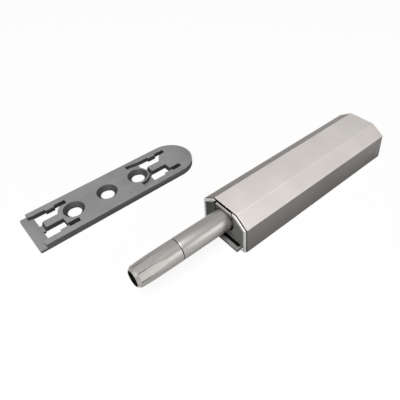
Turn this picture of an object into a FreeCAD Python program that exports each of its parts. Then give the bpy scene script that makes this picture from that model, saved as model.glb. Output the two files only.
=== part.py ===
"""Push to open catch: a surface housing with a long magnet-tipped plunger, and its mounting plate.

Millimetres. The housing lies along Y with its plunger pointing to -Y, +Z is up, and the origin is
the middle of the socket mouth under the housing, level with the surface it stands on.
"""
import FreeCAD, Part
import math
import os

V = FreeCAD.Vector

# Plunger, which sets the size of the cartridge and so the height of the housing
PLUNGER_R = 4.0
PLUNGER_REACH = 36.4
TUBE_REACH = 19.7
TUBE_INSIDE = 17.4
TUBE_BORE_R = 3.1
RUNNING = 0.05
SLIP = 0.05

# Stack of heights under the plunger: room for the plate, chassis floor, cartridge floor
PLATE_ROOM = 2.8
CHASSIS_THICK = 1.0
BARREL_GAP = 0.1
BARREL_FLOOR = 0.6
BARREL_ROOF = 0.5
BARREL_SIDE = 0.85
WALL = 0.9
CHASSIS_TOP = PLATE_ROOM + CHASSIS_THICK
BARREL_BOTTOM = CHASSIS_TOP + BARREL_GAP
CHANNEL_HALF = PLUNGER_R
CHANNEL_LOW = BARREL_BOTTOM + BARREL_FLOOR
AXIS_Z = CHANNEL_LOW + CHANNEL_HALF
CHANNEL_HIGH = AXIS_Z + CHANNEL_HALF
BARREL_TOP = CHANNEL_HIGH + BARREL_ROOF
BARREL_HALF = CHANNEL_HALF + BARREL_SIDE

# Housing
HOUSING_LENGTH = 77.5
HOUSING_WIDTH = 21.5
HOUSING_HEIGHT = BARREL_TOP + BARREL_GAP + WALL
CHAMFER_DROP = 3.5
TOP_WIDTH = 11.1
SIDE_HEIGHT = HOUSING_HEIGHT - CHAMFER_DROP
EDGE_ROUND = 0.5
FRONT = -HOUSING_LENGTH / 2
BACK = HOUSING_LENGTH / 2
INNER_HALF = HOUSING_WIDTH / 2 - WALL
PAST = 2 * HOUSING_HEIGHT

# Front cap: a rim as wide as the housing, two recessed panels and a plug inside the cover
COVER_SETBACK = 0.7
GROOVE = 0.35
GROOVE_DEPTH = 0.7
RIM_WIDTH = 1.0
RIM_PROUD = 0.3
RIM_ROUND = 0.45
FOOT_ROUND = 0.8
PANEL_RECESS = 0.5
PANEL_THICK = 1.0
PORT_GAP = 0.6
PLUG_DEPTH = 3.5
PANEL_Y = FRONT - RIM_PROUD + PANEL_RECESS
PANEL_BACK = PANEL_Y + PANEL_THICK

# Plunger's places along Y
SEAM_Y = FRONT - TUBE_REACH
TIP_END_Y = FRONT - PLUNGER_REACH
TUBE_REAR_Y = FRONT + TUBE_INSIDE
WASHER_THICK = 0.25

# Cartridge that guides the plunger
NOSE_HALF = PLUNGER_R - 0.15
NOSE_BORE_GAP = 0.3
NOSE_TOP = BARREL_TOP + 0.6
NOSE_PROUD = 0.4
NOSE_LENGTH = 12.0
NOSE_CHAMFER = 0.45
NOSE_GAP = 0.45
NOSE_FRONT = FRONT - NOSE_PROUD
NOSE_REAR = FRONT + NOSE_LENGTH
FLANGE_THICK = 1.0
BARREL_REAR = BACK - WALL - FLANGE_THICK
BARREL_WINDOWS = 3
WINDOW_GAP = 5.0

# Carriage behind the tube, and the follower that it carries
CARRIAGE_LENGTH = 20.0
SPIGOT_LENGTH = 5.0
SHOE_LENGTH = 3.5
CARRIAGE_HALF = CHANNEL_HALF - 0.1
CARRIAGE_TOP = CHANNEL_HIGH - 0.7
CARRIAGE_REAR = TUBE_REAR_Y + CARRIAGE_LENGTH
FOLLOWER_X = -2.4
FOLLOWER_R = 0.35
FOLLOWER_Z = CARRIAGE_TOP - 0.4
FOLLOWER_LEG = 0.6
FOLLOWER_HINGE_Y = TUBE_REAR_Y + 5.5
FOLLOWER_OVERHANG = 2.0
FOLLOWER_TIP_Y = CARRIAGE_REAR + FOLLOWER_OVERHANG
POCKET_FLOOR = FOLLOWER_Z - FOLLOWER_R - 0.1

# Main spring, its guide and the rear stop
SPRING_MEAN_R = 2.0
WIRE_R = 0.3
SPRING_TURNS = 22
SPRING_BORE_R = SPRING_MEAN_R + WIRE_R + 0.25
INSERT_LENGTH = 5.0
SPRING_FRONT = SEAM_Y + 1.0 + INSERT_LENGTH
PLUG_LENGTH = 2.7
SPRING_REAR = BARREL_REAR - PLUG_LENGTH
GUIDE_ROD_R = 1.1
BUFFER_THICK = 0.6
STOP_GAP = 0.3
TRAVEL = SPRING_REAR - BUFFER_THICK - STOP_GAP - CARRIAGE_REAR
LATCH_BACK = 2.0

# Latching track
CAM_BOTTOM = FOLLOWER_Z + FOLLOWER_R + 0.2
CAM_HALF = CHANNEL_HALF - 0.65
CAM_DEPTH = 0.65
CAM_LENGTH = 20.0
LANE_HALF = 0.5
HEART_HALF = 0.95
CAM_REAR = BARREL_REAR - 0.1
CAM_FRONT = CAM_REAR - CAM_LENGTH

# Tip adjustment
STUD_R = 1.25
STUD_IN_TIP = 4.0
STUD_PAST_INSERT = 4.0
STUD_FRONT = SEAM_Y - STUD_IN_TIP
STUD_REAR = SPRING_FRONT + STUD_PAST_INSERT
TIP_HOLE_R = 2.7
TIP_HOLE_EDGE = 0.1
TIP_HOLE_DEPTH = 5.0
TIP_BEVEL = 1.05
TIP_TAPER = 0.1
TIP_FLATS = 8
TIP_FLAT_TURN = 9.7
TIP_FLAT_DROP = 0.5
TIP_FLAT_LENGTH = 12.5
MAGNET_RECESS = 0.3

# Chassis, its ribs, hooks and screws
CHASSIS_HALF = INNER_HALF - 0.1
CHASSIS_FRONT = FRONT + PLUG_DEPTH + 0.1
CHASSIS_REAR = BACK - WALL - 0.1
RIB_THICK = 0.9
RIB_HEIGHT = 5.6
GUSSETS = 5
GUSSET_THICK = 0.8
HOOK_PITCH = 45.2
HOOK_LENGTH = 3.6
HOOK_TOE = 0.6
SCREW_X = INNER_HALF - 2.15
SCREW_Y = 12.0
SCREW_R = 0.8
SCREW_HEAD_R = 1.5
SCREW_LENGTH = 5.5
SINK_DEPTH = 0.8
BOSS_R = 1.7

# Release slider at the front foot of the housing
TAB_HALF = 8.5
TAB_PROUD = 1.9
TAB_HEIGHT = 1.6
TAB_WALL = 0.5
TAB_LIP = 1.1
TAB_NOTCH_Z = 1.8
RELEASE_TRAVEL = 1.2
BAR_HALF = 3.0
BAR_LENGTH = 20.0
BAR_END = FRONT + BAR_LENGTH
RELEASE_SPRING_LENGTH = 5.0
RELEASE_SPRING_R = 0.3
RELEASE_WIRE_R = 0.1

# Mounting plate, laid beside the housing: it fits between the housing's walls
PLATE_X = -45.85
PLATE_Y = -90.4
PLATE_LENGTH = 70.3
PLATE_WIDTH = 2 * (INNER_HALF - 0.2)
PLATE_THICK = PLATE_ROOM - 0.2
STRIP_LENGTH = 2.5
STRIP_THICK = 1.05
CORNER_R = 0.6
HOLE_PITCH = 13.9
HOLE_MIDDLE = 31.3
HOLE_R = 2.65
SINK_R = 4.1
LAND = 0.4
HOLE_RELIEF = 0.75
CUTOUT_START = 4.4
WINDOW_LENGTH = 7.9
SLOT_LENGTH = 12.4
SLOT_INNER = 5.0
RAIL_INNER = 7.1
RAIL_TAPER = 1.0
RAIL_TAB = 0.85
UNDERCUT = 0.7
FLOOR_LENGTH = 5.7
BAR_WIDTH = 3.5


def box(x0, x1, y0, y1, z0, z1):
    return Part.makeBox(x1 - x0, y1 - y0, z1 - z0, V(x0, y0, z0))


def rod(radius, y0, y1, x=0.0, z=AXIS_Z):
    return Part.makeCylinder(radius, y1 - y0, V(x, y0, z), V(0, 1, 0))


def post(radius, x, y, z0, z1):
    return Part.makeCylinder(radius, z1 - z0, V(x, y, z0))


def prism_y(points, y0, y1):
    corners = [V(x, y0, z) for x, z in points]
    face = Part.Face(Part.makePolygon(corners + corners[:1]))
    return face.extrude(V(0, y1 - y0, 0))


def prism_z(points, z0, z1):
    corners = [V(x, y, z0) for x, y in points]
    face = Part.Face(Part.makePolygon(corners + corners[:1]))
    return face.extrude(V(0, 0, z1 - z0))


def prism_x(points, x0, x1):
    corners = [V(x0, y, z) for y, z in points]
    face = Part.Face(Part.makePolygon(corners + corners[:1]))
    return face.extrude(V(x1 - x0, 0, 0))


def turned(points, x=0.0, z=AXIS_Z):
    """Revolve an outline of (radius, y) about a line along Y."""
    corners = [V(x + radius, y, z) for radius, y in points]
    face = Part.Face(Part.makePolygon(corners + corners[:1]))
    return face.revolve(V(x, 0, z), V(0, 1, 0), 360)


def turned_z(points, x, y):
    """Revolve an outline of (radius, z) about an upright line."""
    corners = [V(x + radius, y, z) for radius, z in points]
    face = Part.Face(Part.makePolygon(corners + corners[:1]))
    return face.revolve(V(x, y, 0), V(0, 0, 1), 360)


def both_sides(shape):
    return shape.fuse(shape.mirror(V(0, 0, 0), V(1, 0, 0)))


def section(inset, bottom=0.0):
    """The housing's outline across its length, moved inwards by an inset."""
    slope = math.atan2(HOUSING_HEIGHT - SIDE_HEIGHT, (HOUSING_WIDTH - TOP_WIDTH) / 2)
    half = HOUSING_WIDTH / 2 - inset
    side = SIDE_HEIGHT - inset * math.tan((math.pi / 2 - slope) / 2)
    top_half = TOP_WIDTH / 2 - inset * math.tan(slope / 2)
    top = HOUSING_HEIGHT - inset
    right = [(half, bottom), (half, side), (top_half, top)]
    left = [(-x, z) for x, z in reversed(right)]
    return right + left


def coil(mean_r, wire_r, y0, y1, turns, steps, z=AXIS_Z):
    """A compression spring along Y between two planes, its wire five-sided to keep it light."""
    start = y0 + wire_r
    rise = (y1 - y0 - 2 * wire_r) / (turns * steps)
    rings = []
    for number in range(turns * steps + 1):
        angle = 2 * math.pi * number / steps
        corners = []
        for side in range(5):
            around = 2 * math.pi * side / 5
            radius = mean_r + wire_r * math.cos(around)
            y = start + number * rise + wire_r * math.sin(around)
            corners.append(V(radius * math.cos(angle), y, z + radius * math.sin(angle)))
        rings.append(Part.makePolygon(corners + corners[:1]))
    return Part.makeLoft(rings, True, True)


def rounded_outside(shape, back_y, radius):
    """Round the long outer edges and the edges of one end face, but not the foot."""
    edges = []
    for edge in shape.Edges:
        bounds = edge.BoundBox
        if bounds.ZMax < 0.1:
            continue
        long_edge = bounds.XLength < 0.01 and bounds.ZLength < 0.01 and bounds.ZMax > 1.0
        end_edge = abs(bounds.YMin - back_y) < 0.01 and abs(bounds.YMax - back_y) < 0.01
        if long_edge or end_edge:
            edges.append(edge)
    return shape.makeFillet(radius, edges)


# Housing pieces

def housing_cover():
    outer = prism_y(section(0), FRONT + COVER_SETBACK, BACK)
    outer = rounded_outside(outer, BACK, EDGE_ROUND)
    shell = outer.cut(prism_y(section(WALL, -WALL), FRONT, BACK - WALL))
    for x, y in screw_places():
        boss = post(BOSS_R, x, y, CHASSIS_TOP, HOUSING_HEIGHT).common(outer)
        shell = shell.fuse(boss)
        shell = shell.cut(post(SCREW_R, x, y, CHASSIS_TOP, CHASSIS_TOP + SCREW_LENGTH))
    return shell.removeSplitter()


def front_cap():
    rim_back = FRONT + COVER_SETBACK - GROOVE
    cap = prism_y(section(0), FRONT - RIM_PROUD, rim_back)
    foot = [e for e in cap.Edges if e.BoundBox.ZMax < 0.01 and e.BoundBox.YLength > 0.1]
    cap = cap.makeFillet(FOOT_ROUND, foot)
    cap = rounded_outside(cap, FRONT - RIM_PROUD, RIM_ROUND)
    cap = cap.cut(prism_y(section(RIM_WIDTH, RIM_WIDTH), FRONT - PAST, PANEL_Y))
    neck = prism_y(section(GROOVE_DEPTH), PANEL_Y, FRONT + COVER_SETBACK)
    plug = prism_y(section(WALL + SLIP, PLATE_ROOM), PANEL_Y, FRONT + PLUG_DEPTH)
    cap = cap.fuse(neck).fuse(plug)
    cap = cap.cut(prism_y(section(2 * WALL + SLIP, PLATE_ROOM + WALL), PANEL_BACK, FRONT + PAST))
    nose_room = NOSE_HALF + 0.1
    cap = cap.cut(box(-nose_room, nose_room, FRONT - PAST, FRONT + PAST, AXIS_Z, PAST))
    cap = cap.cut(rod(PLUNGER_R + PORT_GAP, FRONT - PAST, FRONT + PAST))
    sleeve_room = BARREL_HALF + 0.1
    cap = cap.cut(box(-sleeve_room, sleeve_room, PANEL_BACK, FRONT + PAST, BARREL_BOTTOM - 0.1, PAST))
    tab_room = TAB_HALF + 0.2
    cap = cap.cut(box(-tab_room, tab_room, FRONT - PAST, FRONT + PAST, -WALL, TAB_NOTCH_Z))
    bar_room = BAR_HALF + 0.1
    cap = cap.cut(box(-bar_room, bar_room, PANEL_BACK - 0.1, FRONT + PAST, -WALL, CHASSIS_TOP + 0.1))
    return cap.removeSplitter()


def hook_pair(y):
    """Two feet that drop through the plate's windows and slide under its rails."""
    stem_in = SLOT_INNER + 0.4
    stem_out = RAIL_INNER - 0.3
    toe = RAIL_INNER + HOOK_TOE
    sole = 0.15
    toe_top = UNDERCUT - 0.1
    profile = [
        (stem_in, PLATE_ROOM), (stem_in, sole + 0.2), (stem_in + 0.2, sole),
        (toe, sole), (toe, toe_top), (stem_out, toe_top), (stem_out, PLATE_ROOM),
    ]
    return both_sides(prism_y(profile, y - HOOK_LENGTH / 2, y + HOOK_LENGTH / 2))


def screw_places():
    return [(x, y) for x in (-SCREW_X, SCREW_X) for y in (-SCREW_Y, SCREW_Y)]


def chassis():
    base = box(-CHASSIS_HALF, CHASSIS_HALF, CHASSIS_FRONT, CHASSIS_REAR, PLATE_ROOM, CHASSIS_TOP)
    rib_in = BARREL_HALF + 0.1
    rib_top = CHASSIS_TOP + RIB_HEIGHT
    cradle = [
        (rib_in, CHASSIS_TOP), (rib_in + RIB_THICK, CHASSIS_TOP), (rib_in + RIB_THICK - 0.2, rib_top - 0.4),
        (rib_in + 0.3, rib_top), (rib_in, rib_top - 0.4),
    ]
    rib_front = NOSE_REAR + 4
    rib_rear = BARREL_REAR - 2
    base = base.fuse(both_sides(prism_y(cradle, rib_front, rib_rear)))
    gusset = [(rib_in + RIB_THICK / 2, CHASSIS_TOP), (CHASSIS_HALF, CHASSIS_TOP),
              (rib_in + RIB_THICK / 2, CHASSIS_TOP + RIB_HEIGHT / 2)]
    step = (rib_rear - rib_front) / GUSSETS
    for number in range(GUSSETS):
        y = rib_front + (number + 0.5) * step
        base = base.fuse(both_sides(prism_y(gusset, y - GUSSET_THICK / 2, y + GUSSET_THICK / 2)))
    for y in (-HOOK_PITCH / 2, HOOK_PITCH / 2):
        window_in = RAIL_INNER - 0.3
        half = HOOK_LENGTH / 2
        window = box(window_in, window_in + 2 * HOOK_TOE, y - half, y + half, 0, rib_top)
        base = base.cut(both_sides(window))
        base = base.fuse(hook_pair(y))
    head = SCREW_HEAD_R + 0.1
    neck = SCREW_R + 0.1
    sink = [(0, -WALL), (head, -WALL), (head, PLATE_ROOM), (neck, PLATE_ROOM + SINK_DEPTH),
            (neck, CHASSIS_TOP), (BOSS_R + 0.1, CHASSIS_TOP), (BOSS_R + 0.1, rib_top), (0, rib_top)]
    for x, y in screw_places():
        base = base.cut(turned_z(sink, x, y))
    slot = BAR_HALF + 0.1
    base = base.cut(box(-slot, slot, FRONT, BAR_END + RELEASE_SPRING_LENGTH, 0, CHASSIS_TOP + 0.1))
    return base.removeSplitter()


def chassis_screw(x, y):
    """A countersunk self-tapping screw driven up through the chassis; its thread is plain."""
    tip = PLATE_ROOM + SCREW_LENGTH
    outline = [(0, PLATE_ROOM), (SCREW_HEAD_R, PLATE_ROOM), (SCREW_R, PLATE_ROOM + SINK_DEPTH),
               (SCREW_R, tip - 0.8), (0.25, tip), (0, tip)]
    screw = turned_z(outline, x, y)
    arm = 0.22
    return screw.cut(box(x - SCREW_R, x + SCREW_R, y - arm, y + arm, 0, PLATE_ROOM + SINK_DEPTH / 2))


def release_slider():
    """A tray-shaped push tab in front, joined under the cap to a bar in the chassis."""
    front = FRONT - TAB_PROUD
    riser = PANEL_BACK + 0.8
    inside = TAB_HALF - TAB_WALL
    tab = box(-TAB_HALF, TAB_HALF, front, riser, 0, TAB_HEIGHT)
    front_edges = [e for e in tab.Edges if e.BoundBox.YMax < front + 0.01 and e.BoundBox.ZMin > 0.1]
    tab = tab.makeChamfer(0.2, front_edges)
    tab = tab.cut(box(-inside, inside, front + TAB_LIP, riser - TAB_WALL, TAB_WALL, PAST))
    top = CHASSIS_TOP - 0.1
    stem = box(-BAR_HALF, BAR_HALF, riser - TAB_WALL, riser, 0, top)
    bar = box(-BAR_HALF, BAR_HALF, riser - TAB_WALL, BAR_END, PLATE_ROOM + 0.1, top)
    tooth_z = PLATE_THICK - 0.6
    tooth = prism_x([(BAR_END - 6, PLATE_ROOM + 0.2), (BAR_END - 4.5, tooth_z), (BAR_END - 3.5, tooth_z),
                     (BAR_END - 3.5, PLATE_ROOM + 0.2)], -BAR_WIDTH / 2, BAR_WIDTH / 2)
    return tab.fuse(stem).fuse(bar).fuse(tooth).removeSplitter()


def release_spring():
    z = (PLATE_ROOM + CHASSIS_TOP) / 2
    rear = BAR_END + RELEASE_SPRING_LENGTH
    return coil(RELEASE_SPRING_R, RELEASE_WIRE_R, BAR_END, rear, 5, 6, z)


# Cartridge pieces

def cartridge_nose():
    """The front guide: an arch seen over the plunger, and a square sleeve behind the cap."""
    sleeve_front = PANEL_BACK + SLIP
    sleeve = box(-BARREL_HALF, BARREL_HALF, sleeve_front, NOSE_REAR, BARREL_BOTTOM, BARREL_TOP)
    arch = box(-NOSE_HALF, NOSE_HALF, NOSE_FRONT, sleeve_front + 1, AXIS_Z, NOSE_TOP)
    front_edges = [e for e in arch.Edges if e.BoundBox.YMax < NOSE_FRONT + 0.01]
    top_edge = [e for e in front_edges if e.BoundBox.ZMin > NOSE_TOP - 0.01]
    arch = arch.makeChamfer(NOSE_CHAMFER, top_edge)
    arch = arch.cut(box(-PAST, PAST, FRONT + COVER_SETBACK - NOSE_GAP, FRONT + PAST, BARREL_TOP, PAST))
    nose = sleeve.fuse(arch)
    nose = nose.cut(rod(PLUNGER_R + 2 * RUNNING, FRONT - PAST, NOSE_REAR + 1))
    return nose.cut(rod(PLUNGER_R + NOSE_BORE_GAP, FRONT - PAST, sleeve_front)).removeSplitter()


def cartridge_body():
    body = box(-BARREL_HALF, BARREL_HALF, NOSE_REAR + SLIP, BARREL_REAR, BARREL_BOTTOM, BARREL_TOP)
    long_edges = [e for e in body.Edges if e.BoundBox.YLength > 1]
    body = body.makeChamfer(0.3, long_edges)
    body = body.cut(box(-CHANNEL_HALF, CHANNEL_HALF, FRONT, BACK, CHANNEL_LOW, CHANNEL_HIGH))
    cam_room = CAM_HALF + SLIP
    body = body.cut(box(-cam_room, cam_room, CAM_FRONT - SLIP, CAM_REAR + SLIP, AXIS_Z, PAST))
    window = (CAM_FRONT - NOSE_REAR - WINDOW_GAP) / BARREL_WINDOWS - WINDOW_GAP
    half = CHANNEL_HALF * 0.3
    for number in range(BARREL_WINDOWS):
        y = NOSE_REAR + WINDOW_GAP + number * (window + WINDOW_GAP)
        body = body.cut(box(-PAST, PAST, y, y + window, AXIS_Z - half, AXIS_Z + half))
    return body.removeSplitter()


def cam_plate():
    """The latching track: two lanes around a heart whose notch holds the follower."""
    plate = box(-CAM_HALF, CAM_HALF, CAM_FRONT, CAM_REAR, CAM_BOTTOM, BARREL_TOP)
    heart_x = FOLLOWER_X + LANE_HALF + HEART_HALF + 0.05
    notch_y = FOLLOWER_TIP_Y + TRAVEL - LATCH_BACK - FOLLOWER_R - 0.1
    lane_end = FOLLOWER_TIP_Y + TRAVEL + FOLLOWER_R + 0.3
    groove_left = FOLLOWER_X - LANE_HALF
    groove_right = heart_x + HEART_HALF + 2 * LANE_HALF
    groove = box(groove_left, groove_right, CAM_FRONT - 1, lane_end, CAM_BOTTOM - 1, CAM_BOTTOM + CAM_DEPTH)
    heart = [
        (heart_x, notch_y - 5.5), (heart_x + HEART_HALF, notch_y - 2.2), (heart_x + HEART_HALF, notch_y + 1.2),
        (heart_x + 0.5, notch_y + 1.4), (heart_x, notch_y), (heart_x - 0.5, notch_y + 0.9),
        (heart_x - HEART_HALF, notch_y + 0.6), (heart_x - HEART_HALF, notch_y - 2.2),
    ]
    groove = groove.cut(prism_z(heart, CAM_BOTTOM - 2, CAM_BOTTOM + 2))
    return plate.cut(groove).removeSplitter()


def rear_plug():
    """Closes the cartridge, seats the main spring and holds its guide rod."""
    half = CHANNEL_HALF - SLIP
    plug = box(-half, half, SPRING_REAR, BARREL_REAR, CHANNEL_LOW + SLIP, POCKET_FLOOR - 0.05)
    flange = box(-BARREL_HALF, BARREL_HALF, BARREL_REAR, CHASSIS_REAR, BARREL_BOTTOM, BARREL_TOP)
    return plug.fuse(flange).cut(rod(GUIDE_ROD_R, FRONT, BACK)).removeSplitter()


def guide_rod():
    front = SPRING_FRONT + TRAVEL + STUD_PAST_INSERT
    outline = [(0, front), (GUIDE_ROD_R - 0.4, front), (GUIDE_ROD_R, front + 0.5),
               (GUIDE_ROD_R, CHASSIS_REAR), (0, CHASSIS_REAR)]
    return turned(outline)


def rear_buffer():
    """A soft U-shaped pad that the carriage meets at full travel."""
    half = CHANNEL_HALF - 0.2
    slot = SPRING_BORE_R + 0.1
    pad = box(-half, half, SPRING_REAR - BUFFER_THICK, SPRING_REAR, CHANNEL_LOW + 0.2, POCKET_FLOOR - 0.2)
    pad = pad.cut(rod(slot, FRONT, BACK))
    return pad.cut(box(-slot, slot, FRONT, BACK, AXIS_Z, PAST))


def main_spring():
    return coil(SPRING_MEAN_R, WIRE_R, SPRING_FRONT, SPRING_REAR, SPRING_TURNS, 10)


# Plunger pieces

def plunger_tube():
    outline = [(TUBE_BORE_R, SEAM_Y), (PLUNGER_R - 0.1, SEAM_Y), (PLUNGER_R, SEAM_Y + 0.1),
               (PLUNGER_R, TUBE_REAR_Y), (TUBE_BORE_R, TUBE_REAR_Y)]
    return turned(outline)


def carriage():
    """Runs in the square channel, carries the follower and lets the spring through."""
    low = CHANNEL_LOW + 0.1
    half = CARRIAGE_HALF
    profile = [(-half, low + 0.5), (-half + 0.5, low), (half - 0.5, low), (half, low + 0.5),
               (half, CARRIAGE_TOP), (-half, CARRIAGE_TOP)]
    body = prism_y(profile, TUBE_REAR_Y, CARRIAGE_REAR)
    shoe = box(-half, half, TUBE_REAR_Y, TUBE_REAR_Y + SHOE_LENGTH, AXIS_Z, CHANNEL_HIGH - 0.1)
    spigot = rod(TUBE_BORE_R, TUBE_REAR_Y - SPIGOT_LENGTH, TUBE_REAR_Y + 1)
    body = body.fuse(shoe).fuse(spigot)
    body = body.cut(rod(SPRING_BORE_R, FRONT, BACK))
    pocket_left = FOLLOWER_X - 0.8
    body = body.cut(box(pocket_left, 1.6, FOLLOWER_HINGE_Y - 1.2, BACK, POCKET_FLOOR, PAST))
    leg_depth = POCKET_FLOOR - FOLLOWER_LEG - 0.05
    body = body.cut(post(FOLLOWER_R + RUNNING, FOLLOWER_X, FOLLOWER_HINGE_Y, leg_depth, PAST))
    relief = box(half - 0.5, half + 1, TUBE_REAR_Y + 5, CARRIAGE_REAR - 4, AXIS_Z - 2, AXIS_Z + 1)
    return body.cut(both_sides(relief)).removeSplitter()


def follower_pin():
    """A bent wire: a leg down into the carriage, an arm rearwards and a tip up into the track."""
    leg = post(FOLLOWER_R, FOLLOWER_X, FOLLOWER_HINGE_Y, POCKET_FLOOR - FOLLOWER_LEG, FOLLOWER_Z)
    arm = rod(FOLLOWER_R, FOLLOWER_HINGE_Y, FOLLOWER_TIP_Y, FOLLOWER_X, FOLLOWER_Z)
    tip = post(FOLLOWER_R, FOLLOWER_X, FOLLOWER_TIP_Y, FOLLOWER_Z, CHANNEL_HIGH - 0.1)
    return leg.fuse(arm).fuse(tip)


def follower_spring():
    """A thin leaf on the carriage that bears on the follower from its outer side."""
    thick = 0.12
    inner = FOLLOWER_X - FOLLOWER_R - 0.02
    y = FOLLOWER_HINGE_Y
    wall = FOLLOWER_X - 0.8
    profile = [
        (wall, y + 2), (wall, y + 6), (inner - thick, y + 11), (inner - thick, y + 12),
        (inner, y + 12), (inner, y + 11), (wall + thick, y + 6), (wall + thick, y + 2),
    ]
    return prism_z(profile, POCKET_FLOOR + 0.1, CARRIAGE_TOP - 0.1)


def tip_insert():
    """The threaded bush pressed into the tube; its thread is plain."""
    outline = [(STUD_R + RUNNING, SEAM_Y + 1), (TUBE_BORE_R - 0.2, SEAM_Y + 1), (TUBE_BORE_R, SEAM_Y + 1.2),
               (TUBE_BORE_R, SPRING_FRONT), (STUD_R + RUNNING, SPRING_FRONT)]
    return turned(outline)


def seam_washer():
    ring = rod(PLUNGER_R - 0.35, SEAM_Y - WASHER_THICK, SEAM_Y)
    return ring.cut(rod(TUBE_BORE_R - 1.2, SEAM_Y - 1, SEAM_Y + 1))


def tip_stud():
    outline = [(0, STUD_FRONT), (STUD_R - 0.2, STUD_FRONT), (STUD_R, STUD_FRONT + 0.3),
               (STUD_R, STUD_REAR - 0.3), (STUD_R - 0.3, STUD_REAR), (0, STUD_REAR)]
    return turned(outline)


def plunger_tip():
    """The adjustable end: round at the seam, with flats that deepen to its bevelled end."""
    rear = SEAM_Y - WASHER_THICK
    end = TIP_END_Y
    bore_end = end + TIP_HOLE_DEPTH
    end_r = PLUNGER_R - TIP_TAPER
    stud_hole = STUD_R + RUNNING
    outline = [
        (0, bore_end), (TIP_HOLE_R, bore_end), (TIP_HOLE_R, end + TIP_HOLE_EDGE), (TIP_HOLE_R + TIP_HOLE_EDGE, end),
        (end_r - TIP_BEVEL, end), (end_r, end + TIP_BEVEL), (PLUNGER_R, rear - 3),
        (PLUNGER_R, rear - 0.1), (PLUNGER_R - 0.1, rear), (stud_hole, rear),
        (stud_hole, STUD_FRONT - 0.2), (0, STUD_FRONT - 0.2),
    ]
    tip = turned(outline)
    lean = math.degrees(math.atan2(TIP_FLAT_DROP, TIP_FLAT_LENGTH))
    for number in range(TIP_FLATS):
        flat = box(-PLUNGER_R, PLUNGER_R, -1, TIP_FLAT_LENGTH + 1, 0, PLUNGER_R)
        flat.rotate(V(0, 0, 0), V(1, 0, 0), lean)
        flat.translate(V(0, end, AXIS_Z + PLUNGER_R - TIP_FLAT_DROP))
        flat.rotate(V(0, 0, AXIS_Z), V(0, 1, 0), TIP_FLAT_TURN + number * 360.0 / TIP_FLATS)
        tip = tip.cut(flat)
    return tip.removeSplitter()


def tip_magnet():
    back = TIP_END_Y + TIP_HOLE_DEPTH
    face = TIP_END_Y + MAGNET_RECESS
    radius = TIP_HOLE_R - SLIP
    outline = [(0, face), (radius - 0.25, face), (radius, face + 0.25), (radius, back), (0, back)]
    return turned(outline)


# Mounting plate

def plate_cutout(start):
    """Windows either side of a centre bar, slots beside them, a lowered floor and hook room below."""
    bar = BAR_WIDTH / 2
    end = start + SLOT_LENGTH
    window_end = start + WINDOW_LENGTH
    far = box(-RAIL_INNER, -bar, start, end - 1, -1, PAST)
    far = far.cut(post(6.1, 0, end + 0.75, -2, PAST + 1))
    far = far.cut(box(-SLOT_INNER, 0, window_end + 2, end + 1, -2, PAST + 1))
    near = box(bar, RAIL_INNER, start, window_end, -1, PAST)
    slots = both_sides(box(SLOT_INNER, RAIL_INNER, window_end, end, -1, PAST))
    tabs = box(RAIL_INNER - RAIL_TAB, RAIL_INNER + 1, start + 4.7, window_end + 0.2, UNDERCUT, PAST + 1)
    opening = far.fuse(near).fuse(slots).cut(both_sides(tabs))
    room = both_sides(box(SLOT_INNER + 0.3, RAIL_INNER + 0.9, start, end, -1, UNDERCUT))
    wide = RAIL_INNER + RAIL_TAPER
    floor_start = start - FLOOR_LENGTH
    floor = prism_z([(-wide, floor_start), (wide, floor_start), (RAIL_INNER, start), (-RAIL_INNER, start)],
                    STRIP_THICK, PAST)
    ramp = prism_x([(start - 0.1, STRIP_THICK), (start + 0.9, STRIP_THICK), (start + 1.55, PLATE_THICK),
                    (start + 1.55, PAST), (start - 0.1, PAST)], -bar - 0.01, bar + 0.01)
    under = box(-bar - 0.01, bar + 0.01, start + 0.9, window_end, -1, 0.6)
    return opening, room.fuse(floor).fuse(ramp).fuse(under)


def mounting_plate():
    half = PLATE_WIDTH / 2
    plate = box(-half, half, 0, PLATE_LENGTH - half, 0, PLATE_THICK)
    plate = plate.fuse(post(half, 0, PLATE_LENGTH - half, 0, PLATE_THICK)).removeSplitter()
    corners = [e for e in plate.Edges if e.BoundBox.YMax < 0.01 and e.BoundBox.ZLength > 1]
    plate = plate.makeFillet(CORNER_R, corners)
    plate = plate.cut(box(-PAST, PAST, -1, STRIP_LENGTH, STRIP_THICK, PAST))
    third_hole = HOLE_MIDDLE + HOLE_PITCH
    for start in (CUTOUT_START, CUTOUT_START + HOOK_PITCH):
        opening, relief = plate_cutout(start)
        relief = relief.cut(post(SINK_R + 0.9, 0, third_hole - 0.4, -2, PAST + 1))
        plate = plate.cut(opening).cut(relief)
    land_top = PLATE_THICK - (SINK_R - HOLE_R)
    land_low = land_top - LAND
    hole = [(0, -1), (HOLE_R + HOLE_RELIEF, -1), (HOLE_R + HOLE_RELIEF, 0), (HOLE_R, land_low),
            (HOLE_R, land_top), (SINK_R, PLATE_THICK), (SINK_R, PLATE_THICK + 1), (0, PLATE_THICK + 1)]
    for step in (-1, 0, 1):
        plate = plate.cut(turned_z(hole, 0, HOLE_MIDDLE + step * HOLE_PITCH))
    plate.translate(V(PLATE_X, PLATE_Y, 0))
    return plate.removeSplitter()


PIECES = {
    "housing_cover": housing_cover,
    "front_cap": front_cap,
    "chassis": chassis,
    "release_slider": release_slider,
    "release_spring": release_spring,
    "cartridge_nose": cartridge_nose,
    "cartridge_body": cartridge_body,
    "cam_plate": cam_plate,
    "rear_plug": rear_plug,
    "guide_rod": guide_rod,
    "rear_buffer": rear_buffer,
    "main_spring": main_spring,
    "plunger_tube": plunger_tube,
    "carriage": carriage,
    "follower_pin": follower_pin,
    "follower_spring": follower_spring,
    "tip_insert": tip_insert,
    "seam_washer": seam_washer,
    "tip_stud": tip_stud,
    "plunger_tip": plunger_tip,
    "tip_magnet": tip_magnet,
    "mounting_plate": mounting_plate,
}

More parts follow.
